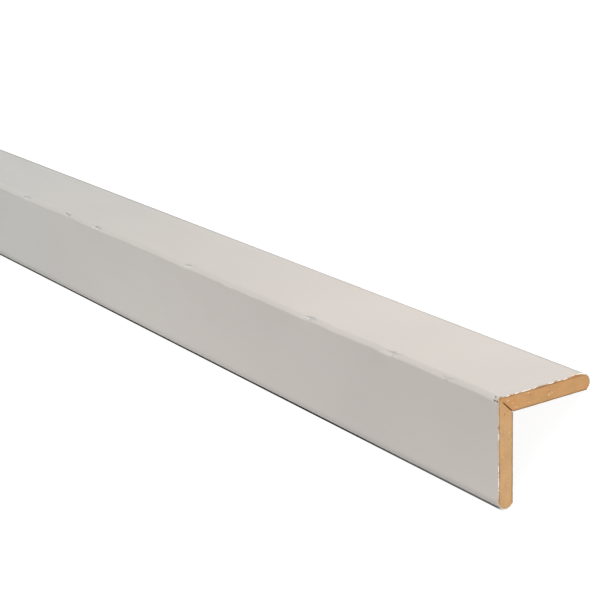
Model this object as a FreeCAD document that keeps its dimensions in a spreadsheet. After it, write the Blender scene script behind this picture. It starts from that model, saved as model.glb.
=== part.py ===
import FreeCAD, Part
import math
import os
from collections import namedtuple

import Sketcher

# Corner guard moulding: two mitred fibreboard legs, folded to a square corner under one white foil.
# The section is drawn with its sharp outer corner at the origin, one leg along +Y and the other along +Z.
# It is then turned over, so that the outer corner is the ridge and the two free edges stand on the floor.

# Driving sizes in millimetres
SIZES = [
    ("stock_length", 2440.0, "length that the moulding is sold in"),
    ("leg_width", 32.0, "outer corner to the tip of a leg, over the foil"),
    ("board_thickness", 4.7, "fibreboard of a leg"),
    ("foil_thickness", 0.3, "foil over the outer faces"),
    ("nose_radius", 3.0, "rounding of a free edge, over the foil"),
    ("back_chamfer", 1.3, "chamfer between a free edge and the glue face"),
    ("foil_setback", 0.2, "bare board between the end of the foil and the back chamfer"),
    ("ridge_bevel", 1.2, "easing of the outer corner, along each face"),
    ("mitre_land", 0.7, "depth over which the mitre is tight, below the eased corner"),
    ("mitre_gap", 0.26, "opening of the mitre at the inner corner"),
]

# Share of a free edge, from the outer face to the end of the foil, that the rounding may take up
NOSE_SHARE = 0.95
ROOT_TWO = math.sqrt(2.0)
TURN_TO_RIDGE_UP = -135.0

doc = FreeCAD.newDocument("corner_guard")
sheet = doc.addObject("Spreadsheet::Sheet", "Sizes")
for row, (alias, number, meaning) in enumerate(SIZES, start=1):
    sheet.set(f"A{row}", meaning)
    sheet.set(f"B{row}", str(number))
    sheet.setAlias(f"B{row}", alias)
doc.recompute()


class Size:
    """A length in millimetres, with the expression that gives it from the sheet."""

    def __init__(self, number, text):
        self.number = number
        self.text = text

    def __add__(self, other):
        return Size(self.number + other.number, f"({self.text} + {other.text})")

    def __sub__(self, other):
        return Size(self.number - other.number, f"({self.text} - {other.text})")

    def __mul__(self, factor):
        return Size(self.number * factor, f"({self.text} * {factor!r})")


def named(alias):
    """The size that the sheet holds under that name."""
    return Size(sheet.get(alias), f"Sizes.{alias}")


def lesser(first, second):
    """The smaller of two sizes."""
    return Size(min(first.number, second.number), f"min({first.text}; {second.text})")


# A corner of an outline. Where it has a radius, an arc about the centre leads on to the next corner.
# A coordinate of None is zero: the corner lies on that axis of the sketch.
Corner = namedtuple("Corner", "across up centre radius", defaults=(None, None))


def swapped(corner):
    """The same corner on the other leg: the section is its own mirror image across the mitre."""
    centre = corner.centre and (corner.centre[1], corner.centre[0])
    return Corner(corner.up, corner.across, centre, corner.radius)


def at(across, up):
    """The point that two sizes give in the sketch's plane."""
    return FreeCAD.Vector(across.number if across else 0.0, up.number if up else 0.0, 0.0)


def draw_edge(sketch, corner, following):
    """Draw the edge from a corner to the following one. Returns which of its ends is its start and its end."""
    start = at(corner.across, corner.up)
    end = at(following.across, following.up)
    if corner.radius is None:
        sketch.addGeometry(Part.LineSegment(start, end))
        return 1, 2
    centre = at(*corner.centre)
    circle = Part.Circle(centre, FreeCAD.Vector(0.0, 0.0, 1.0), corner.radius.number)
    first, last = circle.parameter(start), circle.parameter(end)
    anticlockwise = (start - centre).cross(end - centre).z > 0.0
    sketch.addGeometry(Part.ArcOfCircle(circle, *((first, last) if anticlockwise else (last, first))))
    return (1, 2) if anticlockwise else (2, 1)


def bind(sketch, constraint, size):
    """Add a constraint that takes its length from the sheet."""
    number = sketch.addConstraint(constraint)
    sketch.setExpression(f"Constraints[{number}]", size.text)


def draw_outline(sketch, corners):
    """Draw a closed outline whose every corner and arc is held by sizes from the sheet."""
    following = corners[1:] + corners[:1]
    ends = [draw_edge(sketch, *pair) for pair in zip(corners, following)]
    for edge, corner in enumerate(corners):
        start = ends[edge][0]
        before = edge - 1 if edge else len(corners) - 1
        sketch.addConstraint(Sketcher.Constraint("Coincident", before, ends[before][1], edge, start))
        if corner.across:
            across = Sketcher.Constraint("DistanceX", -1, 1, edge, start, corner.across.number)
            bind(sketch, across, corner.across)
        else:
            sketch.addConstraint(Sketcher.Constraint("PointOnObject", edge, start, -2))
        if corner.up:
            up = Sketcher.Constraint("DistanceY", -1, 1, edge, start, corner.up.number)
            bind(sketch, up, corner.up)
        else:
            sketch.addConstraint(Sketcher.Constraint("PointOnObject", edge, start, -1))
        if corner.radius:
            bind(sketch, Sketcher.Constraint("Radius", edge, corner.radius.number), corner.radius)


def make_strip(name, corners):
    """A body of one section carried along the whole moulding, standing ridge up on the floor."""
    body = doc.addObject("PartDesign::Body", name)
    body.Label = name
    planes = {plane.Role: plane for plane in body.Origin.OriginFeatures}
    sketch = body.newObject("Sketcher::SketchObject", f"{name}_section")
    sketch.AttachmentSupport = (planes["YZ_Plane"], [""])
    sketch.MapMode = "FlatFace"
    draw_outline(sketch, corners)
    pad = body.newObject("PartDesign::Pad", f"{name}_length")
    pad.Profile = sketch
    pad.SideType = "Symmetric"
    pad.setExpression("Length", stock_length.text)
    turn = FreeCAD.Rotation(FreeCAD.Vector(1.0, 0.0, 0.0), TURN_TO_RIDGE_UP)
    body.Placement = FreeCAD.Placement(FreeCAD.Vector(0.0, 0.0, ridge_height.number), turn)
    body.setExpression("Placement.Base.z", ridge_height.text)
    return body


stock_length = named("stock_length")
leg_width = named("leg_width")
foil = named("foil_thickness")
chamfer = named("back_chamfer")
bevel = named("ridge_bevel")
thickness = named("board_thickness") + foil
foil_stop = thickness - chamfer - named("foil_setback")
nose = lesser(named("nose_radius"), foil_stop * NOSE_SHARE)

# The back chamfers lie on the floor, and the sharp outer corner would stand this high above it.
ridge_height = (leg_width + thickness - chamfer) * (1.0 / ROOT_TWO)

# Where the foil's inner side, which is the board's outer side, meets the eased corner and the mitre
board_bevel = bevel + foil * (ROOT_TWO - 1.0)
mitre_top = (bevel + foil * ROOT_TWO) * 0.5
mitre_tight = mitre_top + named("mitre_land")
mitre_open = thickness + named("mitre_gap") * (1.0 / ROOT_TWO)

# The free edge: a rounding, a short flat and the back chamfer, over the foil and under it
nose_centre = (leg_width - nose, nose)
board_tip = leg_width - foil

# A leg: outer face, rounded free edge, back chamfer, glue face, open and tight parts of the mitre
leg_corners = [
    Corner(board_bevel, foil),
    Corner(leg_width - nose, foil, nose_centre, nose - foil),
    Corner(board_tip, nose),
    Corner(board_tip, thickness - chamfer + foil),
    Corner(leg_width - chamfer, thickness),
    Corner(mitre_open, thickness),
    Corner(mitre_tight, mitre_tight),
    Corner(mitre_top, mitre_top),
]

# Half of the foil, from the eased corner out to where it stops on the free edge, and back underneath
foil_outside = [
    Corner(bevel, None),
    Corner(leg_width - nose, None, nose_centre, nose),
    Corner(leg_width, nose),
    Corner(leg_width, foil_stop),
]
foil_inside = [
    Corner(board_tip, foil_stop),
    Corner(board_tip, nose, nose_centre, nose - foil),
    Corner(leg_width - nose, foil),
    Corner(board_bevel, foil),
]


def reversed_half(half):
    """The corners of the other half of the foil, in the order that continues the outline."""
    corners = [swapped(corner) for corner in reversed(half)]
    arcs = [(corner.centre, corner.radius) for corner in corners[1:]] + [(None, None)]
    return [Corner(corner.across, corner.up, *arc) for corner, arc in zip(corners, arcs)]


foil_corners = foil_outside + foil_inside + reversed_half(foil_inside) + reversed_half(foil_outside)

strips = [
    make_strip("left_leg", leg_corners),
    make_strip("right_leg", [swapped(corner) for corner in leg_corners]),
    make_strip("foil_wrap", foil_corners),
]

doc.recompute()
for item in doc.Objects:
    failed = {"Invalid", "Error"}.intersection(item.State)
    if failed:
        raise RuntimeError(f"{item.Label} did not rebuild: {sorted(failed)}")
for strip in strips:
    if strip.Shape.isNull() or not strip.Shape.isValid():
        raise RuntimeError(f"{strip.Label} is not a valid solid")

os.makedirs("parts", exist_ok=True)
for strip in strips:
    strip.Shape.exportStep(f"parts/{strip.Label}.step")
    box = strip.Shape.BoundBox
    print(f"{strip.Label}: {box.XLength:.1f} x {box.YLength:.2f} x {box.ZLength:.2f} mm,"
          f" volume {strip.Shape.Volume / 1000.0:.1f} cm3, lowest {box.ZMin:.4f}")
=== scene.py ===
# %% [markdown]
# # A white corner guard
#
# This moulding covers the corner of a wall. Two strips of fibreboard meet in a mitre, and one white foil
# runs round both of them and over the corner, so that they fold to a square with no joint showing
# outside. The CAD frame holds the three pieces at their real size. Here each of them is made again as a
# finer surface, because the look of the real thing is in what plain solids leave out: a corner that
# wavers and has taken knocks, a foil that the saw has chipped, and the speckled ends of the board.

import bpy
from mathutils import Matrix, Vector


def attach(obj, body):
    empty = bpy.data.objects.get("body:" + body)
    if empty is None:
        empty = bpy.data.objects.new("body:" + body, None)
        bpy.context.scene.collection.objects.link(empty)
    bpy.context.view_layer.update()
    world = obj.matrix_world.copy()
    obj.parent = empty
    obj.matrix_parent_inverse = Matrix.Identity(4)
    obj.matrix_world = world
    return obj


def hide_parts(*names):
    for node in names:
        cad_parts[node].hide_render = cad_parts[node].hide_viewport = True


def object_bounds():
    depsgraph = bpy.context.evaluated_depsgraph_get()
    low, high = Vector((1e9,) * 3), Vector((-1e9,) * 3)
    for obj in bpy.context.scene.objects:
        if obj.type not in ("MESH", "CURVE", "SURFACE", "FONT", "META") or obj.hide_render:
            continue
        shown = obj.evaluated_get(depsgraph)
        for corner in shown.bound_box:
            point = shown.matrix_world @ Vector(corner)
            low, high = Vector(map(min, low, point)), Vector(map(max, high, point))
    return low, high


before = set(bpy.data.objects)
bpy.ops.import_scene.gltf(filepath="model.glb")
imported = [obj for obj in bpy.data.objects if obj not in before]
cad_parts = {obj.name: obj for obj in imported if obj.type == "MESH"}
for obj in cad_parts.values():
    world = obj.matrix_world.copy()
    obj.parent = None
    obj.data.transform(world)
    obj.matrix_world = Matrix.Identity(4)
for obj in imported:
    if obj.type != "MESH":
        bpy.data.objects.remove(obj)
cad_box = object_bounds()
print("CAD pieces:", sorted(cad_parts))

# %% [markdown]
# ## The section
#
# The moulding is one section carried along its length, so the section comes first. A point of a leg has
# two measures: how far it lies along the face, from the sharp outer corner, and how deep it lies under
# the face. The moulding stands on its two free edges with the corner up, like a roof, so both measures
# fall at 45 degrees.

# %% Sizes of the section
import math

import numpy as np

MM = 0.001
DIAGONAL = math.sqrt(0.5)

LEG_WIDTH = 32.0 * MM
BOARD = 4.7 * MM
FOIL = 0.3 * MM
NOSE_RADIUS = 3.0 * MM
BACK_CHAMFER = 1.3 * MM
FOIL_SETBACK = 0.2 * MM
RIDGE_BEVEL = 1.2 * MM
MITRE_LAND = 0.7 * MM
MITRE_GAP = 0.26 * MM

THICKNESS = BOARD + FOIL
FOIL_STOP = THICKNESS - BACK_CHAMFER - FOIL_SETBACK
RIDGE_HEIGHT = (LEG_WIDTH + THICKNESS - BACK_CHAMFER) * DIAGONAL
FAR_CUT, NEAR_CUT = cad_box[0].x, cad_box[1].x
LEFT, RIGHT = -1.0, 1.0


def stand(along, deep, side):
    """Breadth and height of a point of a leg.

    Breadth is the difference of the two measures, and the fall below the sharp corner is their sum,
    each taken along the diagonal.
    """
    return side * (along - deep) * DIAGONAL, RIDGE_HEIGHT - (along + deep) * DIAGONAL


half_width = (LEG_WIDTH - 2.0 * NOSE_RADIUS) * DIAGONAL + NOSE_RADIUS
print(f"half width {half_width / MM:.3f} mm, and {cad_box[1].y / MM:.3f} mm in the frame")

# %% [markdown]
# ## The camera
#
# The photograph looks along the moulding from above its near end, with a long lens. The moulding lies in
# it with the left leg upright, so the camera leans over by half a right angle: its upward direction is
# the line up the left leg, with a little roll. Place, aim and roll come from lining up the long edges and
# the cut end.

# %% Place the camera
import bpy
from mathutils import Matrix, Vector

LENS = 98.44
EYE_FROM_CORNER = Vector((304.18, -74.36, 289.07)) * MM
AIM_FROM_CORNER = Vector((-96.27, 3.916, 0.0)) * MM
ROLL = math.radians(-2.149)
CLIP_NEAR, CLIP_FAR = 0.01, 200.0

scene = bpy.context.scene
near_corner = Vector((NEAR_CUT, 0.0, RIDGE_HEIGHT))
eye = near_corner + EYE_FROM_CORNER
forward = (near_corner + AIM_FROM_CORNER - eye).normalized()
level = forward.cross(Vector((0.0, DIAGONAL, DIAGONAL))).normalized()
upright = level.cross(forward)
across = level * math.cos(ROLL) + upright * math.sin(ROLL)
turned = Matrix((across, across.cross(forward), -forward)).transposed()

camera = bpy.data.objects.new("camera", bpy.data.cameras.new("camera"))
camera.data.lens = LENS
camera.data.clip_start = CLIP_NEAR
camera.data.clip_end = CLIP_FAR
camera.matrix_world = Matrix.Translation(eye) @ turned.to_4x4()
scene.collection.objects.link(camera)
scene.camera = camera
print("camera at", [round(v, 4) for v in eye])

# %% [markdown]
# ## From arrays to meshes
#
# Each piece is worked out as a grid of points, row by row along the moulding. The faces are then only a
# matter of vertex numbers: every four neighbours in the grid are a quad. Numpy writes all of them at
# once, which is much quicker than adding faces in a loop, and a second grid of numbers closes each end in
# the same way.

# %% Helpers for grids
SHARP_ANGLE = math.radians(32.0)
LATTICE = 4096
CUBIC_CM = (10.0 * MM) ** 3


def quads_of(numbers):
    """Quads of a grid of vertex numbers, facing the way of row direction times column direction."""
    corners = [numbers[:-1, :-1], numbers[1:, :-1], numbers[1:, 1:], numbers[:-1, 1:]]
    return np.stack(corners, axis=-1).reshape(-1, 4)


def ripple(position, pitch, seed):
    """Smooth random wave from -1 to 1: a random height at every pitch, joined by half cosines."""
    heights = np.random.default_rng(seed).uniform(-1.0, 1.0, LATTICE)
    step = np.asarray(position) / pitch
    first = np.floor(step).astype(int)
    share = 0.5 - 0.5 * np.cos(np.pi * (step - first))
    return heights[first % LATTICE] * (1.0 - share) + heights[(first + 1) % LATTICE] * share


def hump(distance, half_width):
    """Flat-topped hump: e to the minus x, where x is the fourth power of the distance in half widths."""
    return np.exp(-((distance / half_width) ** 4))


def make_piece(name, points, quads, finish, attributes):
    """A mesh object from an array of points, an array of quads, the finish number of each quad and
    named numbers on the points. Edges sharper than SHARP_ANGLE stay sharp."""
    mesh = bpy.data.meshes.new(name)
    mesh.from_pydata(points, [], quads)
    mesh.polygons.foreach_set("material_index", finish)
    for label, values in attributes.items():
        layer = mesh.attributes.new(label, "FLOAT", "POINT")
        layer.data.foreach_set("value", values.astype(np.float32))
    mesh.shade_smooth()
    mesh.set_sharp_from_angle(angle=SHARP_ANGLE)
    mesh.update()
    piece = bpy.data.objects.new(name, mesh)
    scene.collection.objects.link(piece)
    a, b, c, d = (points[quads[:, corner]] for corner in range(4))
    volume = np.einsum("ij,ij->", a, np.cross(b, c) + np.cross(c, d)) / 6.0
    print(f"{name}: {len(quads) * 2} triangles, {volume / CUBIC_CM:.1f} cm3")
    return piece


# %% [markdown]
# ## The line of the foil
#
# Seen from the end, the foil starts level on the eased corner, turns down by 45 degrees, runs along the
# face and turns by 90 degrees round the free edge. A bevelled mesh would give the same outline, but a
# formula for the line lets the width and the roundness of the eased corner change along the moulding, as
# on a real fold.

# %% Foil line
EDGE_NEAR = 0.9 * MM
EIGHTH_TURN, QUARTER_TURN = math.pi / 4.0, math.pi / 2.0


def foil_runs(bevel, edge):
    """Lengths of half the line: level, edge arc, face, nose arc and the flat of the free edge.

    The edge arc takes the same trim from the level and from the face: its radius times the tangent of half
    its turn.
    """
    trim = edge * math.tan(EIGHTH_TURN / 2.0)
    face = LEG_WIDTH - NOSE_RADIUS - bevel - trim
    return (bevel * DIAGONAL - trim, edge * EIGHTH_TURN, face,
            NOSE_RADIUS * QUARTER_TURN, FOIL_STOP - NOSE_RADIUS)


def foil_line(share, bevel, edge):
    """Breadth, height and downward turn of half the foil's outer side, at a share of its length.

    A straight run adds its length times the cosine and the sine of the turn so far. An arc adds its radius
    times the change of the sine and of the cosine.
    """
    level, edge_arc, face, nose_arc, tip = foil_runs(bevel, edge)
    reach = share * (level + edge_arc + face + nose_arc + tip)
    on_level = np.clip(reach, 0.0, level)
    first_turn = np.clip((reach - level) / edge, 0.0, EIGHTH_TURN)
    past_edge = reach - level - edge_arc
    on_face = np.clip(past_edge, 0.0, face)
    second_turn = np.clip((past_edge - face) / NOSE_RADIUS, 0.0, QUARTER_TURN)
    on_tip = np.clip(past_edge - face - nose_arc, 0.0, tip)
    breadth = (on_level + edge * np.sin(first_turn) + (on_face - on_tip) * DIAGONAL
               + NOSE_RADIUS * (np.sin(EIGHTH_TURN + second_turn) - DIAGONAL))
    fall = (edge * (1.0 - np.cos(first_turn)) + (on_face + on_tip) * DIAGONAL
            + NOSE_RADIUS * (DIAGONAL - np.cos(EIGHTH_TURN + second_turn)))
    return breadth, RIDGE_HEIGHT - bevel * DIAGONAL - fall, first_turn + second_turn


runs = foil_runs(RIDGE_BEVEL, EDGE_NEAR)
print("half the foil is", round(sum(runs) / MM, 2), "mm wide")

# %% [markdown]
# ## The knocks
#
# In use and in the store, the corner takes knocks. The photograph shows some, and they are listed. The
# length beyond the picture gets a few at random, from a seeded generator, so that every run gives the same.

# %% Knocks on the corner
# Distance from the near cut, reach from the ridge (left is negative), half length, half width and depth,
# in millimetres
NEAR_KNOCKS = [(290.0, 0.3, 2.6, 0.6, 0.18), (253.6, 0.3, 2.8, 0.6, 0.18), (229.0, 0.0, 2.8, 0.7, 0.20),
               (161.9, 0.4, 2.6, 0.7, 0.18), (88.0, 0.2, 2.2, 0.6, 0.17),
               (46.6, 0.2, 3.2, 0.8, 0.09), (21.6, -0.5, 2.2, 0.7, 0.06),
               (2.0, 0.28, 0.60, 0.22, 0.265), (1.7, -0.72, 0.75, 0.28, 0.275),
               (0.60, -0.76, 0.50, 0.38, 0.28)]
FAR_KNOCK_COUNT, FAR_SEED = 4, 11
FAR_KNOCK_RANGES = [(380.0, 2400.0), (-0.9, 0.9), (1.5, 3.0), (0.4, 0.7), (0.12, 0.22)]

draws = np.random.default_rng(FAR_SEED)
far_knocks = np.stack([draws.uniform(*limits, FAR_KNOCK_COUNT) for limits in FAR_KNOCK_RANGES], axis=1)
knocks = np.concatenate([NEAR_KNOCKS, far_knocks]) * MM
knock_from_near, knock_reach, knock_length, knock_width, knock_depth = knocks.T
knock_place = NEAR_CUT - knock_from_near
print(len(NEAR_KNOCKS), "knocks in the picture and", FAR_KNOCK_COUNT, "beyond it")

# %% [markdown]
# ## Columns and stations
#
# The columns of the grid lie closer where the line turns. The rows, or stations, lie closer at the two
# saw cuts and at each knock on the corner, and far apart on the plain stretches, where the surface is
# straight.

# %% Columns and stations of the foil
COLUMNS_PER_RUN = (4, 8, 92, 10, 2)
FROM_CUT = np.array([0, 0.12, 0.25, 0.4, 0.55, 0.7, 0.9, 1.1, 1.35, 1.6, 1.9, 2.3, 2.8, 3.6, 5, 8]) * MM
ROUND_KNOCK = np.array([-1.6, -0.9, -0.4, 0.0, 0.4, 0.9, 1.6])
VISIBLE_LENGTH = 340.0 * MM
CLOSE_PITCH, WIDE_PITCH = 5.0 * MM, 120.0 * MM
SMALLEST_STEP = 0.05 * MM

columns_of_runs = [np.linspace(start, start + length, count, endpoint=False)
                   for start, length, count in zip(np.cumsum(runs) - runs, runs, COLUMNS_PER_RUN)]
half = np.concatenate(columns_of_runs + [[sum(runs)]]) / sum(runs)
shares = np.concatenate([-half[:0:-1], half])
stations = np.concatenate([
    FAR_CUT + FROM_CUT, NEAR_CUT - FROM_CUT,
    np.arange(NEAR_CUT - VISIBLE_LENGTH, NEAR_CUT - FROM_CUT[-1], CLOSE_PITCH),
    np.arange(FAR_CUT + WIDE_PITCH, NEAR_CUT - VISIBLE_LENGTH, WIDE_PITCH),
    (knock_place[:, None] + knock_length[:, None] * ROUND_KNOCK).ravel()])
stations = np.sort(np.clip(stations, FAR_CUT, NEAR_CUT))
stations = stations[np.append(np.diff(stations) > SMALLEST_STEP, True)]
from_near, from_far = NEAR_CUT - stations, stations - FAR_CUT
side = np.sign(shares)
reach = shares * sum(runs)
print(len(stations), "stations and", len(shares), "columns")

# %% [markdown]
# ## The foil
#
# The saw chips the brittle foil, so its ends are not straight: each column stops a little short of the
# cut, by a fine fray and by a few larger chips. A knock is an oval dent in the corner. Booleans or
# sculpting could make both, but as humps over the grid they stay a few numbers that can be moved.

# %% Chips and dents
CHIP_FADE = 3.0 * MM
FRAY, FRAY_PITCH = 0.09 * MM, 0.45 * MM
NEAR_FRAY_SEED, FAR_FRAY_SEED = 5, 6

# Chips at the near cut: place along the foil from the ridge (left is negative), half width and depth, in mm
NEAR_CHIPS = np.array([(27.0, 2.1, 0.75), (24.2, 0.8, 0.30), (20.9, 0.35, 0.30), (19.5, 0.5, 0.55),
                       (17.1, 0.5, 0.30), (14.5, 1.9, 0.22), (4.2, 0.9, 0.25), (0.2, 0.9, 0.75),
                       (-3.5, 1.0, 0.16), (-8.1, 0.5, 0.32), (-14.2, 1.4, 0.08), (-29.0, 0.9, 0.24)]) * MM
FAR_CHIP_COUNT = 12
FAR_CHIP_RANGES = [(-34.0, 34.0), (0.4, 1.8), (0.15, 0.6)]
far_chips = np.stack([draws.uniform(*limits, FAR_CHIP_COUNT) for limits in FAR_CHIP_RANGES], axis=1) * MM


def chipped(chips, seed):
    """How far each column stops short of the cut: a fine fray plus the deepest of the chips' humps."""
    place, half_width, depth = chips.T
    fray = FRAY * (0.5 + 0.5 * ripple(reach, FRAY_PITCH, seed))
    return fray + (depth * hump(reach[:, None] - place, half_width)).max(axis=1)


def knocked(weight, spread=1.0, place=0.0, width=1.0):
    """The strongest of the knocks' humps, each an oval.

    The distance in an oval is the root of two squares: the distance along the moulding in half lengths, and
    across it in half widths. A place moves the ovals to the right by a share of the half width, and a width
    makes them narrower.
    """
    lengthwise = (stations[:, None, None] - knock_place) / knock_length
    crosswise = ((reach[None, :, None] - knock_reach) / knock_width - place) / width
    return (weight * hump(np.hypot(lengthwise, crosswise), spread)).max(axis=2)


near_fade = np.clip(1.0 - from_near / CHIP_FADE, 0.0, 1.0)[:, None]
far_fade = np.clip(1.0 - from_far / CHIP_FADE, 0.0, 1.0)[:, None]
lengthways = (stations[:, None] - near_fade * chipped(NEAR_CHIPS, NEAR_FRAY_SEED)
              + far_fade * chipped(far_chips, FAR_FRAY_SEED))
print(f"the foil stops up to {(NEAR_CUT - lengthways[-1]).max() / MM:.2f} mm short of the near cut")

# %% [markdown]
# ### The two sides
#
# The outer side follows the line, pushed in at the knocks. Its easing wavers in width and sways from side
# to side. Away from the near cut it is round towards the right face and crisp towards the left one. The
# inner side is the line with a plain width, moved in by the foil's thickness, and it sways along. Where a
# knock is deep, a little of the film is left, so that the two sides never touch.

# %% Outer and inner side
FOLD_WANDER, FOLD_PITCH, FOLD_SEED = 0.20 * MM, 13.0 * MM, 3
EDGE_LEFT, EDGE_RIGHT, EDGE_RANGE = 0.5 * MM, 2.0 * MM, np.array([60.0, 160.0]) * MM
SWAY, SWAY_PITCH, SWAY_SEED = 0.24 * MM, 6.0 * MM, 4
SWAY_REACH, SWAY_START = 4.5 * MM, 8.0 * MM
GLUE_LINE, SHY, FILM_LEFT = 0.01 * MM, 0.01 * MM, 0.01 * MM

bevels = (RIDGE_BEVEL + FOLD_WANDER * (0.5 + 0.5 * ripple(stations, FOLD_PITCH, FOLD_SEED)))[:, None]
away = np.interp(from_near, EDGE_RANGE, [0.0, 1.0])[:, None]
edges = EDGE_NEAR + away * (np.where(side < 0.0, EDGE_LEFT, EDGE_RIGHT) - EDGE_NEAR)
held = np.clip(np.minimum(from_near, from_far) / SWAY_START, 0.0, 1.0)
sway = SWAY * (held * ripple(stations, SWAY_PITCH, SWAY_SEED))[:, None] * hump(reach, SWAY_REACH)

inset = FOIL - GLUE_LINE
pit = SHY + knocked(knock_depth)
pushed = np.minimum(pit, inset - FILM_LEFT - (bevels - RIDGE_BEVEL) * DIAGONAL)
breadth, height, turn = foil_line(np.abs(shares), bevels, edges)
outer_y = sway + side * (breadth - pushed * np.sin(turn))
outer_z = height - pushed * np.cos(turn)

breadth, height, turn = foil_line(np.abs(shares), RIDGE_BEVEL, edges)
inner_y = sway + side * (breadth - inset * np.sin(turn))
inner_z = height - inset * np.cos(turn)
print(f"deepest dent {pushed.max() / MM:.2f} mm")

# %% [markdown]
# ### Wear and painted shade
#
# Some marks are only colour, and the finish has to know where they lie, so the points carry numbers for
# them. The knocks are scuffed, and split along their right side; their pale and dark flecks are partly scuff
# and partly a painted highlight and shade of the dent. The cut edge is white where the foil broke clean, and
# painted brighter there as a highlight. The rounded free edges get painted shade where they turn away from
# the light, stronger away from the near cut, and the feet that the moulding stands on get a darker painted
# contact shade.

# %% Wear and painted shade of the foil
SCUFF_SPREAD, SCUFF_DEPTH = 1.35, 0.17 * MM
SPLIT_PLACE, SPLIT_WIDTH = 0.45, 0.24
# Painted shade on the rounded free edges where they turn away from the light, and a darker painted contact
# shade on the feet that the moulding stands on.
NOSE_SHADE_REACH = np.array([27.9, 28.6, 29.1, 30.0]) * MM
NOSE_SHADE_SHARE = np.array([0.0, 0.25, 0.7, 1.0])
NOSE_SHADE_LEFT, NOSE_SHADE_RIGHT = 0.09, 0.32
NOSE_SHADE_GROWTH, GROWTH_RANGE = 1.1, np.array([120.0, 300.0]) * MM
FOOT_SHADE_LEFT, FOOT_SHADE_RIGHT, FOOT_SHADE_REACH = 0.85, 0.38, np.array([30.75, 31.1]) * MM

# Stretches where the foil broke clean and its white edge shows, painted brighter as a highlight: middle and
# half width in mm, and how clean
CLEAN_HIGHLIGHT_EDGES = np.array([(2.9, 0.7, 1.0), (5.8, 0.8, 1.0), (9.0, 1.5, 1.0), (11.9, 0.6, 1.0),
                        (17.5, 0.8, 1.0), (20.7, 0.5, 1.0), (23.0, 0.9, 1.0), (26.2, 0.7, 0.8),
                        (28.6, 1.3, 1.0), (-22.6, 4.6, 0.62), (-10.4, 1.1, 0.80)]) * [MM, MM, 1.0]

worn = np.clip(knock_depth / SCUFF_DEPTH, 0.0, 1.0)
# The flecked area round a knock, partly scuff and partly the dent's painted highlight and shade.
scuff_light_and_shade = knocked(worn, spread=SCUFF_SPREAD)
split = knocked(worn, place=SPLIT_PLACE, width=SPLIT_WIDTH)
clean_middle, clean_half, clean_share = CLEAN_HIGHLIGHT_EDGES.T
clean_highlight = (clean_share * hump(reach[:, None] - clean_middle, clean_half)).max(axis=1)

# Painted shade: the free edges darken as they turn away from the light, more so away from the near cut, and
# the feet are darker still as contact shade.
painted_edge_shade = np.interp(np.abs(reach), NOSE_SHADE_REACH, NOSE_SHADE_SHARE) * np.where(side < 0.0, NOSE_SHADE_LEFT, NOSE_SHADE_RIGHT)
painted_edge_shade = painted_edge_shade * (1.0 + np.interp(from_near, GROWTH_RANGE, [0.0, NOSE_SHADE_GROWTH]))[:, None]
foot = np.interp(np.abs(reach), FOOT_SHADE_REACH, [0.0, 1.0]) * np.where(side < 0.0, FOOT_SHADE_LEFT, FOOT_SHADE_RIGHT)
painted_edge_shade = np.maximum(painted_edge_shade, foot)
print(f"grime from {painted_edge_shade.min():.2f} to {painted_edge_shade.max():.2f}")

# %% [markdown]
# ### The wrap
#
# The outer side, and the inner side taken backwards, make one ring of points at every station. The rings
# close along the two free edges, and a narrow strip of quads closes the wrap at each cut. Those strips
# are the sawn edge of the film, so they get a finish of their own.

# %% Make the foil
rows, columns = outer_y.shape
rings = [np.hstack([outer, inner[:, ::-1]])
         for outer, inner in ((lengthways, lengthways), (outer_y, inner_y), (outer_z, inner_z))]
points = np.stack(rings, axis=-1)
numbers = np.arange(points.shape[0] * points.shape[1]).reshape(points.shape[:2])
wrap = quads_of(np.hstack([numbers, numbers[:, :1]]))
outer_numbers, inner_numbers = numbers[:, :columns], numbers[:, :columns - 1:-1]
near_edge = quads_of(np.stack([outer_numbers[-1], inner_numbers[-1]]))
far_edge = quads_of(np.stack([inner_numbers[0], outer_numbers[0]]))
foil_quads = np.concatenate([wrap, near_edge, far_edge])
foil_finish = np.repeat([0, 1], [len(wrap), len(near_edge) + len(far_edge)])


def both_sides(values):
    """Values of the outer side repeated for the inner side, in the order of the foil's points."""
    values = np.broadcast_to(values, (rows, columns))
    return np.hstack([values, values[:, ::-1]]).ravel()


wear = {"pit": pit / FOIL, "scuff_and_dent_light": scuff_light_and_shade, "split": split, "painted_edge_shade": painted_edge_shade, "clean_highlight": clean_highlight}
foil = make_piece("foil_skin", points.reshape(-1, 3), foil_quads, foil_finish,
                  {label: both_sides(values) for label, values in wear.items()})

# %% [markdown]
# ## The boards
#
# A leg is a solid strip, so its two ends need faces with many points, for the fibres and the crumbled
# rim. A Coons patch gives them: it fills the space between four border lines by blending opposite borders
# and taking away what the corners count twice. The same borders, carried along the moulding, are the
# sides of the strip.

# %% Borders of a leg
BOARD_BEVEL = RIDGE_BEVEL + FOIL * (math.sqrt(2.0) - 1.0)
MITRE_TOP = (RIDGE_BEVEL + FOIL * math.sqrt(2.0)) / 2.0
MITRE_TIGHT = MITRE_TOP + MITRE_LAND
MITRE_OPEN = THICKNESS + MITRE_GAP * DIAGONAL
TIP = LEG_WIDTH - FOIL
BEVEL_POINTS, FACE_POINTS, NOSE_POINTS = 6, 130, 8
FLAT_POINTS, CHAMFER_POINTS, TIGHT_POINTS = 5, 10, 6


def run(start, end, count):
    """Points on a straight line, without its last one."""
    return np.linspace(start, end, count, endpoint=False)


def nose_arc(start, end, count):
    """Points on the rounding of the free edge between two angles from the face's normal, without the last:
    the centre plus the radius times the sine and minus the cosine of the angle."""
    angle = np.linspace(start, end, count, endpoint=False)[:, None]
    centre = np.array([LEG_WIDTH - NOSE_RADIUS, NOSE_RADIUS])
    return centre + (NOSE_RADIUS - FOIL) * np.hstack([np.sin(angle), -np.cos(angle)])


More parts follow.
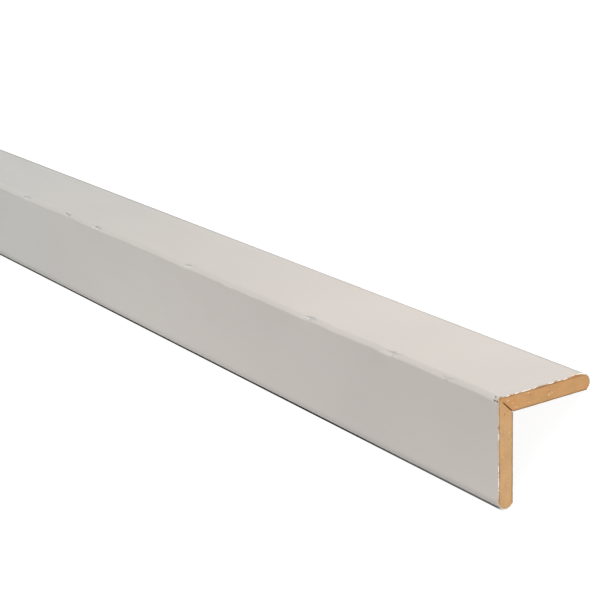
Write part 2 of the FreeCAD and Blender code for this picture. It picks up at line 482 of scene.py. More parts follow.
mitre_top, mitre_tight = (MITRE_TOP, MITRE_TOP), (MITRE_TIGHT, MITRE_TIGHT)
face_start, face_end = (BOARD_BEVEL, FOIL), (LEG_WIDTH - NOSE_RADIUS, FOIL)
flat_start, flat_end = (TIP, NOSE_RADIUS), (TIP, THICKNESS - BACK_CHAMFER + FOIL)
back_start, back_end = (MITRE_OPEN, THICKNESS), (LEG_WIDTH - BACK_CHAMFER, THICKNESS)

face_border = np.concatenate([
    run(mitre_top, face_start, BEVEL_POINTS), run(face_start, face_end, FACE_POINTS),
    nose_arc(0.0, EIGHTH_TURN, NOSE_POINTS), nose_arc(EIGHTH_TURN, QUARTER_TURN, 1)])
tip_border = np.concatenate([
    nose_arc(EIGHTH_TURN, QUARTER_TURN, NOSE_POINTS), run(flat_start, flat_end, FLAT_POINTS),
    run(flat_end, back_end, CHAMFER_POINTS), [back_end]])
back_border = np.linspace(back_start, back_end, len(face_border))
open_points = len(tip_border) - TIGHT_POINTS - 1
mitre_border = np.concatenate([
    run(mitre_top, mitre_tight, TIGHT_POINTS), run(mitre_tight, back_start, open_points), [back_start]])
print("borders of", len(face_border), "and", len(tip_border), "points")

# %% [markdown]
# ### Patch and loop
#
# The patch is a grid of points on the section. The numbers round its border are the loop that runs along
# the strip, so the ends and the sides share their points and the strip is closed.

# %% Patch and loop
def patch(face, tip, back, mitre):
    """Coons patch: the blend of face and back, plus the blend of mitre and tip, minus the blend of the
    corners."""
    u = np.linspace(0.0, 1.0, len(face))[None, :, None]
    v = np.linspace(0.0, 1.0, len(tip))[:, None, None]
    corners = ((1 - u) * (1 - v) * face[0] + u * (1 - v) * face[-1]
               + (1 - u) * v * back[0] + u * v * back[-1])
    return (1 - v) * face + v * back + (1 - u) * mitre[:, None] + u * tip[:, None] - corners


def loop_numbers(grid):
    """The numbers on the border of a grid, once round: face, tip, back and mitre."""
    return np.concatenate([grid[0], grid[1:, -1], grid[-1, -2::-1], grid[-2:0:-1, 0]])


def inward(loop):
    """Unit directions into the section: the line between a point's neighbours, turned by a right angle."""
    ahead = np.roll(loop, -1, axis=0) - np.roll(loop, 1, axis=0)
    ahead /= np.linalg.norm(ahead, axis=1, keepdims=True)
    return np.stack([-ahead[:, 1], ahead[:, 0]], axis=1)


grid = np.arange(len(tip_border) * len(face_border)).reshape(len(tip_border), len(face_border))
round_grid = loop_numbers(grid)
section = patch(face_border, tip_border, back_border, mitre_border).reshape(-1, 2)
loop = section[round_grid]
into = inward(loop)
print("loop of", len(loop), "points")

# %% [markdown]
# ### Rim and pressed corner
#
# The saw leaves no sharp rim on fibreboard: the fibres crumble a little all round, and more in a few
# stretches under the foil. So the loop draws in towards the middle of the section at the cuts. Away from
# the cuts, the corner under the foil is pressed in, as the knocks and the swaying fold above it need.

# %% Rim and press
RIM_STEPS = np.array([0.0, 0.08, 0.2, 0.45, 1.0, 3.0, 10.0, 40.0]) * MM
RIM_SHARE = np.array([1.0, 0.5, 0.16, 0.0, 0.0, 0.0, 0.0, 0.0])
RIM_FACE, RIM_BACK, RIM_MITRE = 0.03 * MM, 0.05 * MM, 0.02 * MM
RIM_WANDER, RIM_PITCH = 0.6, 3.0
FACE_DEPTH = FOIL + 0.01 * MM
LEG_PITCH = 80.0 * MM
PRESSED, PRESSED_REACH, PRESSED_RANGE = 0.40 * MM, 4.5 * MM, np.array([2.0, 10.0]) * MM

# Where the board has crumbled under the foil at the near cut: leg, place along it, half width and depth,
# in millimetres
CRUMBLES = [(RIGHT, 14.5, 2.1, 0.34), (RIGHT, 19.4, 0.6, 0.35), (RIGHT, 27.5, 1.8, 0.18),
            (LEFT, 21.0, 2.6, 0.28), (LEFT, 8.0, 0.8, 0.12), (LEFT, 28.0, 1.0, 0.16)]

first_between = FAR_CUT + RIM_STEPS[-1] + LEG_PITCH
last_between = NEAR_CUT - RIM_STEPS[-1] - LEG_PITCH / 2.0
between = np.arange(first_between, last_between, LEG_PITCH)
leg_stations = np.concatenate([FAR_CUT + RIM_STEPS, between, NEAR_CUT - RIM_STEPS[::-1]])
plain = np.zeros(len(leg_stations) - len(RIM_SHARE))
near_share = np.concatenate([plain, RIM_SHARE[::-1]])[:, None, None]
far_share = np.concatenate([RIM_SHARE, plain])[:, None, None]
from_cut = np.minimum(NEAR_CUT - leg_stations, leg_stations - FAR_CUT)
press_share = np.interp(from_cut, PRESSED_RANGE, [0.0, 1.0])[:, None, None]
press = np.zeros((len(loop), 1))
press[:len(face_border), 0] = PRESSED * hump(face_border[:, 0], PRESSED_REACH)


def rim_depth(side, crumbles, seed):
    """How far the loop draws in at a cut, point by point: a depth for the stretch, with a random wave on
    it, plus a hump for every crumble of that leg."""
    along, deep = loop.T
    on_face = deep < FACE_DEPTH
    on_mitre = np.abs(along - deep) < MITRE_GAP
    depth = np.where(on_face, RIM_FACE, np.where(on_mitre, RIM_MITRE, RIM_BACK))
    depth = depth * (1.0 + RIM_WANDER * ripple(np.arange(len(loop)), RIM_PITCH, seed))
    for leg, place, half_width, extra in crumbles:
        if leg == side:
            depth = depth + on_face * extra * MM * hump(along - place * MM, half_width * MM)
    return depth


print(len(leg_stations), "stations of a leg")

# %% [markdown]
# ### Fibres on the near cut
#
# Close up, the sawn end is not one tan: here and there a bundle of fibres stands out pale or dark, and where
# the board has crumbled under the foil, painted dark shade stands for the shade in the undercut beneath the
# foil's edge. The photograph shows where, so the places are a short list, and the points carry the numbers
# for the finish.

# %% Painted undercut shade and bundles of fibres
# Painted dark shade in the undercut where the board crumbled under the foil: the crumble depth for full
# shade, its depth under the face, and the length of the bell along the moulding.
UNDERCUT_SHADE_FULL, UNDERCUT_SHADE_DEPTH, CUT_BELL_LENGTH = 0.34, 0.28 * MM, 0.5 * MM

# Bundles of fibres on the near cut: leg, place along it and depth under its face, half length and half
# height in millimetres, and how pale (up to 1) or dark (down to -1)
BUNDLES = [(RIGHT, 17.4, 3.2, 0.45, 0.40, 0.8), (RIGHT, 18.4, 2.8, 0.8, 0.22, 0.6),
           (RIGHT, 10.3, 1.0, 0.5, 0.3, 0.8), (RIGHT, 11.0, 1.6, 0.5, 0.3, -0.5),
           (RIGHT, 17.3, 2.2, 0.5, 0.25, -0.5), (RIGHT, 3.3, 1.5, 0.5, 0.35, 0.7),
           (RIGHT, 4.9, 2.6, 0.4, 0.3, 0.6), (RIGHT, 6.0, 3.9, 0.6, 0.3, 0.6),
           (LEFT, 5.0, 2.2, 0.5, 0.3, -0.6), (LEFT, 4.2, 3.1, 0.4, 0.25, -0.5),
           (LEFT, 12.4, 3.7, 0.4, 0.3, -0.5), (LEFT, 12.9, 4.4, 0.5, 0.3, 0.5)]


def at_near_cut(points):
    """Bell along the moulding: e to the minus square of the distance from the near cut, in bell lengths."""
    return np.exp(-((NEAR_CUT - points[:, 0]) / CUT_BELL_LENGTH) ** 2)


def undercut_shade(points, along, deep, side):
    """Painted dark shade in the undercut beneath the foil: the strongest of the crumbles' humps, times a
    bell of the depth under the foil.
    """
    strength = np.zeros(len(along))
    for leg, place, half_width, extra in CRUMBLES:
        if leg == side:
            strength = np.maximum(strength, extra / UNDERCUT_SHADE_FULL * hump(along - place * MM, half_width * MM))
    return strength * at_near_cut(points) * np.exp(-((deep - FOIL) / UNDERCUT_SHADE_DEPTH) ** 2)


def bundled(points, along, deep, side):
    """Pale and dark bundles of fibres: the sum of oval humps, each with its shade."""
    strength = np.zeros(len(along))
    for leg, place, depth, half_length, half_height, shade in BUNDLES:
        if leg == side:
            oval = np.hypot((along / MM - place) / half_length, (deep / MM - depth) / half_height)
            strength = strength + shade * hump(oval, 1.0)
    return strength * at_near_cut(points)


print(len(BUNDLES), "bundles of fibres and", len(CRUMBLES), "crumbled stretches")

# %% [markdown]
# ### The legs
#
# Each leg is its loop carried along the stations, with a patch over each cut. The saw's relief moves the
# points of the patches in and out by a few hundredths of a millimetre. The left leg is the mirror image
# of the right one, so its quads are turned round to face outwards again.

# %% Make the legs
SAW_RELIEF, RELIEF_ALONG, RELIEF_DEEP = 0.03 * MM, 0.7 * MM, 0.5 * MM


def leg_points(lengthways, flat, side):
    """Points of a leg, from where they lie along the moulding and on the flat section."""
    breadth, height = stand(flat[..., 0], flat[..., 1], side)
    return np.stack([np.broadcast_to(lengthways, breadth.shape), breadth, height], axis=-1).reshape(-1, 3)


def cap_section(border):
    """Points of the section's patch inside a border that has crumbled."""
    bordered = section.copy()
    bordered[round_grid] = border
    bordered = bordered.reshape(*grid.shape, 2)
    filled = patch(bordered[0], bordered[:, -1], bordered[-1], bordered[:, 0])
    return filled[1:-1, 1:-1].reshape(-1, 2)


def cap_numbers(border, first):
    """Grid of vertex numbers over a cut: the border's own numbers, and new ones inside from the first on."""
    numbers = np.empty(grid.shape, int)
    inside = numbers[1:-1, 1:-1]
    inside[:] = first + np.arange(inside.size).reshape(inside.shape)
    numbers.ravel()[round_grid] = border
    return numbers


def saw_relief(cap, seed):
    """How far the saw went in at each point of a cut: half the relief, plus a quarter of it times a random
    wave along the leg, plus a quarter of it times one across the leg."""
    along_leg = ripple(cap[:, 0], RELIEF_ALONG, seed + 2)
    across_leg = ripple(cap[:, 1], RELIEF_DEEP, seed + 3)
    return SAW_RELIEF * (0.5 + 0.25 * along_leg + 0.25 * across_leg)


def make_leg(name, side, seed):
    """One leg: its loop carried along the stations, and a patch over each cut."""
    near_in = rim_depth(side, CRUMBLES, seed)[:, None]
    far_in = rim_depth(side, [], seed + 1)[:, None]
    sides = loop + into * (near_share * near_in + far_share * far_in + press_share * press)
    number = np.arange(sides.shape[0] * sides.shape[1]).reshape(sides.shape[:2])
    flat = [sides.reshape(-1, 2)]
    points = [leg_points(leg_stations[:, None], sides, side)]
    quads = [quads_of(np.hstack([number, number[:, :1]]))]
    made = number.size
    for row, cut, outward in ((0, FAR_CUT, -1.0), (-1, NEAR_CUT, 1.0)):
        cap = cap_section(sides[row])
        cap_grid = cap_numbers(number[row], made)
        flat.append(cap)
        points.append(leg_points(cut - outward * saw_relief(cap, seed), cap, side))
        quads.append(quads_of(cap_grid if outward > 0.0 else cap_grid[:, ::-1]))
        made += len(cap)
    finish = np.repeat([0, 1, 1], [len(part) for part in quads])
    quads = np.concatenate(quads)
    if side == LEFT:
        quads = quads[:, ::-1]
    points = np.concatenate(points)
    along, deep = np.concatenate(flat).T
    opening = np.where(along + deep > 2.0 * MITRE_TIGHT, along - deep, THICKNESS) / MM
    carried = {"along": along / MM, "deep": deep / MM, "mitre": opening,
               "undercut_shade": undercut_shade(points, along, deep, side), "bundle": bundled(points, along, deep, side)}
    return make_piece(name, points, quads, finish, carried)


left_leg = make_leg("left_board", LEFT, seed=20)
right_leg = make_leg("right_board", RIGHT, seed=30)

# %% [markdown]
# ## Helpers for materials
#
# A material is a small machine of nodes. These helpers add one or two nodes each and return the socket
# that carries the result, so that a finish below can be read from top to bottom. Patterns are measured in
# millimetres of the piece's own space, so that a fibre is as long on every piece.

# %% Node helpers
MIX_SHARE, MIX_FIRST, MIX_SECOND, MIX_RESULT = 0, 6, 7, 2
SOME_DETAIL, FINE_DETAIL, FINEST_DETAIL = 2.0, 3.0, 4.0


def add_node(tree, kind, inputs=None, **settings):
    """A node with its settings, and with its inputs linked to sockets or set to values."""
    node = tree.nodes.new(kind)
    for name, value in settings.items():
        setattr(node, name, value)
    for name, value in (inputs or {}).items():
        socket = node.inputs[name]
        if isinstance(value, bpy.types.NodeSocket):
            tree.links.new(value, socket)
        else:
            socket.default_value = value
    return node


def noise(tree, where, scale, detail=FINE_DETAIL):
    """Cloudy pattern from 0 to 1."""
    inputs = {"Vector": where, "Scale": scale, "Detail": detail}
    return add_node(tree, "ShaderNodeTexNoise", inputs).outputs["Fac"]


def remap(tree, value, low, high, to_low=0.0, to_high=1.0):
    """A value carried smoothly from one range to another, and held inside the second."""
    inputs = {"Value": value, "From Min": low, "From Max": high, "To Min": to_low, "To Max": to_high}
    return add_node(tree, "ShaderNodeMapRange", inputs, interpolation_type="SMOOTHSTEP").outputs["Result"]


def swing(tree, value, low, high, size):
    """A value carried from a range to as much below zero as above it."""
    return remap(tree, value, low, high, -size, size)


def math_node(tree, operation, first, second=0.0):
    """Sum, product, or another operation on one or two values."""
    return add_node(tree, "ShaderNodeMath", {0: first, 1: second}, operation=operation).outputs["Value"]


def blend_colours(tree, share, first, second, way="MIX"):
    """Two colours mixed, or multiplied, by a share."""
    inputs = {MIX_SHARE: share, MIX_FIRST: first, MIX_SECOND: second}
    return add_node(tree, "ShaderNodeMix", inputs, data_type="RGBA", blend_type=way).outputs[MIX_RESULT]


def scaled_colour(tree, colour, factor):
    """A colour made lighter or darker by a value."""
    grey = add_node(tree, "ShaderNodeCombineColor", {"Red": factor, "Green": factor, "Blue": factor})
    return blend_colours(tree, 1.0, colour, grey.outputs["Color"], "MULTIPLY")


def millimetres(tree):
    """The piece's own coordinates, in millimetres."""
    inputs = {0: add_node(tree, "ShaderNodeTexCoord").outputs["Object"], "Scale": 1.0 / MM}
    return add_node(tree, "ShaderNodeVectorMath", inputs, operation="SCALE").outputs["Vector"]


def stretched(tree, where, factors):
    """Coordinates squeezed or stretched along the axes, so that a pattern gets a direction."""
    inputs = {0: where, 1: factors}
    return add_node(tree, "ShaderNodeVectorMath", inputs, operation="MULTIPLY").outputs["Vector"]


def attribute(tree, name):
    """A named number that a piece's points carry."""
    return add_node(tree, "ShaderNodeAttribute", attribute_name=name).outputs["Fac"]


def bump(tree, height, strength, distance):
    """Normals that a height pattern roughens."""
    inputs = {"Height": height, "Strength": strength, "Distance": distance}
    return add_node(tree, "ShaderNodeBump", inputs).outputs["Normal"]


# %% [markdown]
# Two more helpers start a material and a node group. A group is a pattern that is built once and placed
# in each material that needs it, with that material's own values.

# %% Materials and groups
def new_material(name):
    """An empty material with a Principled shader. Returns the material, its tree and the shader."""
    material = bpy.data.materials.new(name)
    material.use_nodes = True
    return material, material.node_tree, material.node_tree.nodes["Principled BSDF"]


def new_group(name, inputs, outputs):
    """A node group with named sockets. Returns its tree, and its input and output nodes."""
    tree = bpy.data.node_groups.new(name, "ShaderNodeTree")
    for label, kind in inputs:
        tree.interface.new_socket(label, in_out="INPUT", socket_type=kind)
    for label, kind in outputs:
        tree.interface.new_socket(label, in_out="OUTPUT", socket_type=kind)
    return tree, tree.nodes.new("NodeGroupInput"), tree.nodes.new("NodeGroupOutput")


def use_group(tree, group, inputs):
    """A node that stands for a group, with its inputs filled."""
    return add_node(tree, "ShaderNodeGroup", inputs, node_tree=group)


# %% [markdown]
# ## Fibre and dust
#
# Fibreboard is wood ground to fibres and pressed with resin. Close up it is a cloudy tan with fine dark
# and pale specks, where a bundle of fibres was cut across or torn out. The sawn ends and the sanded faces
# both show it, and so does the dust on the foil's cut edge, so it is a group that each of them uses.

# %% Fibre group
FLOAT, COLOUR, VECTOR = "NodeSocketFloat", "NodeSocketColor", "NodeSocketVector"
CLOUD_SCALE, GRAIN_SCALE, SPECK_SCALE, THREAD_SCALE, RESIN_SCALE = 0.45, 3.2, 1.15, 6.0, 0.30
THREAD_STRETCH, RESIN_STRETCH = (1.0, 0.5, 1.6), (1.0, 0.8, 1.3)
SPECK_RADIUS, PALE_PICK, DARK_PICK = (0.10, 0.26), (0.78, 0.86), (0.80, 0.88)

# Range of each pattern, and how far it moves the tone
CLOUD_TONE, GRAIN_TONE, THREAD_TONE = (0.3, 0.7, 0.05), (0.25, 0.75, 0.045), (0.28, 0.72, 0.10)
PALE_TONE, DARK_TONE = 0.24, 0.34
RED_RANGE, RED_FIBRE = (0.50, 0.66), (1.03, 0.965, 0.92, 1.0)
OLIVE_RANGE, OLIVE_FIBRE = (0.48, 0.32), (0.985, 1.01, 0.95, 1.0)

fibre, given, result = new_group(
    "board_fibre", [("Position", VECTOR), ("Base", COLOUR), ("Contrast", FLOAT)],
    [("Color", COLOUR), ("Height", FLOAT)])
where = given.outputs["Position"]
clouds = noise(fibre, where, CLOUD_SCALE)
grain = noise(fibre, where, GRAIN_SCALE, FINEST_DETAIL)
threads = noise(fibre, stretched(fibre, where, THREAD_STRETCH), THREAD_SCALE)
cells = add_node(fibre, "ShaderNodeTexVoronoi", {"Vector": where, "Scale": SPECK_SCALE})
pick = add_node(fibre, "ShaderNodeSeparateColor", {"Color": cells.outputs["Color"]})
speck = remap(fibre, cells.outputs["Distance"], *SPECK_RADIUS, 1.0, 0.0)
pale = math_node(fibre, "MULTIPLY", speck, remap(fibre, pick.outputs["Red"], *PALE_PICK))
dark = math_node(fibre, "MULTIPLY", speck, remap(fibre, pick.outputs["Green"], *DARK_PICK))

tone = math_node(fibre, "ADD", swing(fibre, clouds, *CLOUD_TONE), swing(fibre, grain, *GRAIN_TONE))
tone = math_node(fibre, "ADD", tone, swing(fibre, threads, *THREAD_TONE))
tone = math_node(fibre, "ADD", tone, math_node(fibre, "MULTIPLY", pale, PALE_TONE))
tone = math_node(fibre, "SUBTRACT", tone, math_node(fibre, "MULTIPLY", dark, DARK_TONE))
tone = math_node(fibre, "ADD", 1.0, math_node(fibre, "MULTIPLY", tone, given.outputs["Contrast"]))
resin = noise(fibre, stretched(fibre, where, RESIN_STRETCH), RESIN_SCALE, SOME_DETAIL)
tinted = blend_colours(fibre, remap(fibre, resin, *RED_RANGE), given.outputs["Base"], RED_FIBRE, "MULTIPLY")
tinted = blend_colours(fibre, remap(fibre, resin, *OLIVE_RANGE), tinted, OLIVE_FIBRE, "MULTIPLY")
fibre.links.new(scaled_colour(fibre, tinted, tone), result.inputs["Color"])
fibre.links.new(tone, result.inputs["Height"])
print("group", fibre.name, "with", len(fibre.nodes), "nodes")

# %% [markdown]
# ## Soft marks
#
# A film that has been rolled, pressed and handled is never quite even: its shade changes slowly over a
# hand's breadth, and faint streaks run along it. The streaks also change the sheen. Two clouds are
# enough, and the one for the streaks is stretched along the moulding.

# %% Soft marks group
BROAD_SCALE, STREAK_SCALE, STREAK_STRETCH = 0.02, 0.55, (0.06, 0.9, 0.9)
MARK_RANGE, BROAD_SHADE, STREAK_SHADE = (0.3, 0.7), (0.965, 1.0), (-0.01, 0.006)

marks, given, result = new_group("soft_marks", [("Position", VECTOR)], [("Shade", FLOAT), ("Sheen", FLOAT)])
where = given.outputs["Position"]
broad = noise(marks, where, BROAD_SCALE, SOME_DETAIL)
streaks = noise(marks, stretched(marks, where, STREAK_STRETCH), STREAK_SCALE)
shade = math_node(marks, "ADD", remap(marks, broad, *MARK_RANGE, *BROAD_SHADE),
                  remap(marks, streaks, *MARK_RANGE, *STREAK_SHADE))
marks.links.new(shade, result.inputs["Shade"])
marks.links.new(remap(marks, streaks, *MARK_RANGE), result.inputs["Sheen"])
print("group", marks.name, "with", len(marks.nodes), "nodes")

# %% [markdown]
# ## The finish of the foil
#
# The foil is a smooth printed film with a low sheen. It is not pure white: it leans to a warm grey, whose
# tint swings between a neutral and a warm grey in a long wave along the moulding. Handling leaves faint
# marks, the free edges carry painted shade, and a knock scuffs and splits the film, with pale and dark
# flecks that are partly a painted highlight and shade of the dent; at its deepest the knock is near black.

# %% Foil finish
FOIL_NEUTRAL = (0.735, 0.727, 0.686, 1.0)
FOIL_WARM = (0.797, 0.745, 0.693, 1.0)
DRIFT_START, DRIFT_LENGTH = 1140.0, 650.0
# Pale and dark flecks in a knock: partly scuff, and partly a painted highlight and painted shade of the
# dent.
FLECK_PALE_HIGHLIGHT = (0.83, 0.82, 0.80, 1.0)
FLECK_DARK_SHADE = (0.48, 0.47, 0.44, 1.0)
FLECK_SCALE, FLECK_STRETCH = 1.1, (0.5, 1.0, 1.0)
PALE_RANGE, DARK_RANGE, DARK_FULL = (0.46, 0.40), (0.54, 0.60), 0.9
SPLIT_COLOUR = (0.40, 0.39, 0.37, 1.0)
PIT_COLOUR = (0.10, 0.07, 0.06, 1.0)
PIT_RANGE, RAGGED_SCALE, RAGGED = (0.76, 0.82), 4.0, (0.3, 0.7, 0.05)
FOIL_ROUGHNESS = (0.42, 0.52)
PEEL_SCALE, PEEL_STRENGTH, PEEL_DEPTH = 0.9, 0.25, 0.02 * MM


def foil_tint(tree, where):
    """Tint of the film: two whites, mixed by a cosine wave along the moulding."""
    along = add_node(tree, "ShaderNodeSeparateXYZ", {"Vector": where}).outputs["X"]
    from_start = math_node(tree, "SUBTRACT", along, DRIFT_START)
    wave = math_node(tree, "COSINE", math_node(tree, "MULTIPLY", from_start, 2.0 * math.pi / DRIFT_LENGTH))
    return blend_colours(tree, remap(tree, wave, -1.0, 1.0), FOIL_NEUTRAL, FOIL_WARM)


def knocked_film(tree, where, film):
    """The film's colour with pale and dark flecks in a knock, partly scuff and partly a painted highlight
    and shade of the dent, a split beside it and a dark pit.
    """
    scuff_and_dent_light = attribute(tree, "scuff_and_dent_light")
    flecks = noise(tree, stretched(tree, where, FLECK_STRETCH), FLECK_SCALE, SOME_DETAIL)
    pale = math_node(tree, "MULTIPLY", scuff_and_dent_light, remap(tree, flecks, *PALE_RANGE))
    dark = math_node(tree, "MULTIPLY", scuff_and_dent_light, remap(tree, flecks, *DARK_RANGE, 0.0, DARK_FULL))
    film = blend_colours(tree, pale, film, FLECK_PALE_HIGHLIGHT)
    film = blend_colours(tree, dark, film, FLECK_DARK_SHADE)
    film = blend_colours(tree, attribute(tree, "split"), film, SPLIT_COLOUR)
    uneven = swing(tree, noise(tree, where, RAGGED_SCALE), *RAGGED)
    ragged = math_node(tree, "ADD", attribute(tree, "pit"), uneven)
    return blend_colours(tree, remap(tree, ragged, *PIT_RANGE), film, PIT_COLOUR)


def white_foil():
    """Warm white film with a low sheen, a tint that swings along the moulding, faint marks, painted shade on
    the free edges, and knocks.
    """
    material, tree, shader = new_material("white_foil")
    where = millimetres(tree)
    handled = use_group(tree, marks, {"Position": where})
    # The painted shade of the free edges and feet is taken off the film's shade.
    shade = math_node(tree, "SUBTRACT", handled.outputs["Shade"], attribute(tree, "painted_edge_shade"))
    film = knocked_film(tree, where, scaled_colour(tree, foil_tint(tree, where), shade))
    sheen = remap(tree, handled.outputs["Sheen"], 0.0, 1.0, *FOIL_ROUGHNESS)
    peel = bump(tree, noise(tree, where, PEEL_SCALE, SOME_DETAIL), PEEL_STRENGTH, PEEL_DEPTH)
    tree.links.new(film, shader.inputs["Base Color"])
    tree.links.new(sheen, shader.inputs["Roughness"])
    tree.links.new(peel, shader.inputs["Normal"])
    return material


# %% [markdown]
# The sawn edge of the film is a hair line, but it draws the outline of the cut. Where the film broke clean
# it is white, painted brighter than the film itself as a highlight, and elsewhere dust from the board has
# stuck to it.

# %% Cut edge of the foil
# White of the clean break, painted brighter than the film as a highlight.
EDGE_WHITE_HIGHLIGHT = (0.97, 0.90, 0.82, 1.0)
EDGE_DUST, DUST_CONTRAST = (0.60, 0.44, 0.32, 1.0), 0.8
BREAK_SCALE, BREAK_SWING, BREAK_RANGE = 1.1, (0.35, 0.65, 0.35), (0.35, 0.65)
CUT_EDGE_ROUGHNESS = 0.7


def foil_cut_edge():
    """Sawn edge of the film: white with a painted highlight where it broke clean, and covered with board
    dust elsewhere.
    """
    material, tree, shader = new_material("foil_cut_edge")
    where = millimetres(tree)
    dusty = use_group(tree, fibre, {"Position": where, "Base": EDGE_DUST, "Contrast": DUST_CONTRAST})
    uneven = swing(tree, noise(tree, where, BREAK_SCALE), *BREAK_SWING)
    white_highlight_share = remap(tree, math_node(tree, "ADD", attribute(tree, "clean_highlight"), uneven), *BREAK_RANGE)
    colour = blend_colours(tree, white_highlight_share, dusty.outputs["Color"], EDGE_WHITE_HIGHLIGHT)
    tree.links.new(colour, shader.inputs["Base Color"])
    shader.inputs["Roughness"].default_value = CUT_EDGE_ROUGHNESS
    return material


# %% [markdown]
# ## The finish of the boards
#
# The bare fibreboard is drawn darker in a thin band under each of its two faces. Along the mitre, where it
# opens, the board is painted dark brown as shade in the gap. The two legs are not quite the same tan. The
# pattern reads the points' own measures along and under the face, so that it runs the same way in both legs.

# %% Board finish
# Painted shade in the undercut beneath the foil's crumbled edge.
UNDERCUT_SHADE_COLOUR = (0.13, 0.045, 0.025, 1.0)
BUNDLE_PALE = (0.76, 0.46, 0.23, 1.0)
BUNDLE_DARK = (0.33, 0.17, 0.065, 1.0)
# Painted shade in the mitre's gap: its dark brown, and the openings in mm over which it fades out.
MITRE_GAP_SHADE, MITRE_SHADE_RANGE = (0.26, 0.085, 0.010, 1.0), (0.17, 0.45)
# Bands under the outer face and the back face, in mm, where the board is drawn darker.
FACE_SKIN, BACK_SKIN = (0.35, 0.72), (4.40, 4.88)
FIBRE_DEPTH = 0.08 * MM

# The fibres lie in layers, so the pattern is drawn out along the leg.
LAYERED = (1.0, 0.45, 1.0)


def board_finish(name, tan, contrast, face_skin, back_skin, roughness, relief):
    """Bare fibreboard: the fibre pattern, darker in a band under each face, with the bundles, the painted
    shade in the mitre's gap and the painted shade under the foil's crumbled edge over it."""
    material, tree, shader = new_material(name)
    lengthways = add_node(tree, "ShaderNodeSeparateXYZ", {"Vector": millimetres(tree)}).outputs["X"]
    deep = attribute(tree, "deep")
    along = attribute(tree, "along")
    where = add_node(tree, "ShaderNodeCombineXYZ", {"X": lengthways, "Y": along, "Z": deep})
    where = stretched(tree, where.outputs["Vector"], LAYERED)
    fibres = use_group(tree, fibre, {"Position": where, "Base": tan, "Contrast": contrast})
    darker_under_faces = math_node(tree, "MULTIPLY", remap(tree, deep, *FACE_SKIN, face_skin, 1.0),
                      remap(tree, deep, *BACK_SKIN, 1.0, back_skin))
    board = scaled_colour(tree, fibres.outputs["Color"], darker_under_faces)
    bundle = attribute(tree, "bundle")
    board = blend_colours(tree, remap(tree, bundle, 0.0, 1.0), board, BUNDLE_PALE)
    board = blend_colours(tree, remap(tree, bundle, 0.0, -1.0), board, BUNDLE_DARK)
    # Painted dark brown shade in the mitre's gap, then painted dark shade in the undercut beneath the foil.
    in_mitre_shade = remap(tree, attribute(tree, "mitre"), *MITRE_SHADE_RANGE, 1.0, 0.0)
    board = blend_colours(tree, in_mitre_shade, board, MITRE_GAP_SHADE)
    board = blend_colours(tree, attribute(tree, "undercut_shade"), board, UNDERCUT_SHADE_COLOUR)
    rough = bump(tree, fibres.outputs["Height"], relief, FIBRE_DEPTH)
    tree.links.new(board, shader.inputs["Base Color"])
    tree.links.new(rough, shader.inputs["Normal"])
    shader.inputs["Roughness"].default_value = roughness
    return material


# %% [markdown]
# ## Dressing the pieces
#
# Each piece gets two finishes: one for its long faces and one for its cuts. It rides on the frame's one
# body, and the CAD node that it stands for is hidden.

# %% Dress the pieces
TAN_LEFT = (0.575, 0.345, 0.165, 1.0)
TAN_RIGHT = (0.556, 0.302, 0.126, 1.0)
SANDED = {"contrast": 0.6, "face_skin": 0.9, "back_skin": 0.9, "roughness": 0.75, "relief": 0.2}
SAWN = {"contrast": 1.0, "back_skin": 0.48, "roughness": 0.9, "relief": 0.6}

foil_finishes = [white_foil(), foil_cut_edge()]
left_finishes = [board_finish("left_board_sanded", TAN_LEFT, **SANDED),
                 board_finish("left_board_sawn", TAN_LEFT, face_skin=0.78, **SAWN)]
right_finishes = [board_finish("right_board_sanded", TAN_RIGHT, **SANDED),
                  board_finish("right_board_sawn", TAN_RIGHT, face_skin=0.60, **SAWN)]

for piece, node, slot, finishes in ((foil, "foil_wrap", "white_foil", foil_finishes),
                                    (left_leg, "left_leg", "fibreboard", left_finishes),
                                    (right_leg, "right_leg", "fibreboard", right_finishes)):
    for material in finishes:
        piece.data.materials.append(material)
    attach(piece, "root")
    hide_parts(node)
    print(piece.name, "stands for", node)

# %% [markdown]
# ## The floor
#
# The photograph is a cut-out on white. The floor shows white to the camera and keeps a soft shadow, but it
# throws little light back, so that the underside of the free edges goes dark as in the photograph. All that
# is left of the ground there is a thin contact shadow under the foot, so the floor's colour holds that line
# as a painted shadow: a band under each free edge, fainter on the right, that ends just before the cuts.

# %% Floor
FLOOR_REACH = 60.0
FLOOR_DROP = 0.02 * MM
FLOOR_GLOW = (0.90, 0.90, 0.90, 1.0)
FLOOR_COLOUR = (0.30, 0.30, 0.30, 1.0)
FLOOR_UNSEEN = (0.15, 0.15, 0.15, 1.0)
BLACK = (0.0, 0.0, 0.0, 1.0)

edge = np.linspace(-FLOOR_REACH, FLOOR_REACH, 2)
ground_x, ground_y = np.meshgrid(edge, edge, indexing="ij")
ground = np.stack([ground_x, ground_y, np.full_like(ground_x, -FLOOR_DROP)], axis=-1).reshape(-1, 3)
floor_mesh = bpy.data.meshes.new("floor")
floor_mesh.from_pydata(ground, [], quads_of(np.arange(4).reshape(2, 2)))
floor = bpy.data.objects.new("floor", floor_mesh)
scene.collection.objects.link(floor)
print("floor", FLOOR_DROP / MM, "mm under the feet")

# %% [markdown]
# Light Path tells rays that show the floor from rays that only carry its light. For the first the floor
# glows white, and for the second it is a dull grey. The painted contact shadow is worked out from the
# distance to the middle of the moulding and to its cuts.

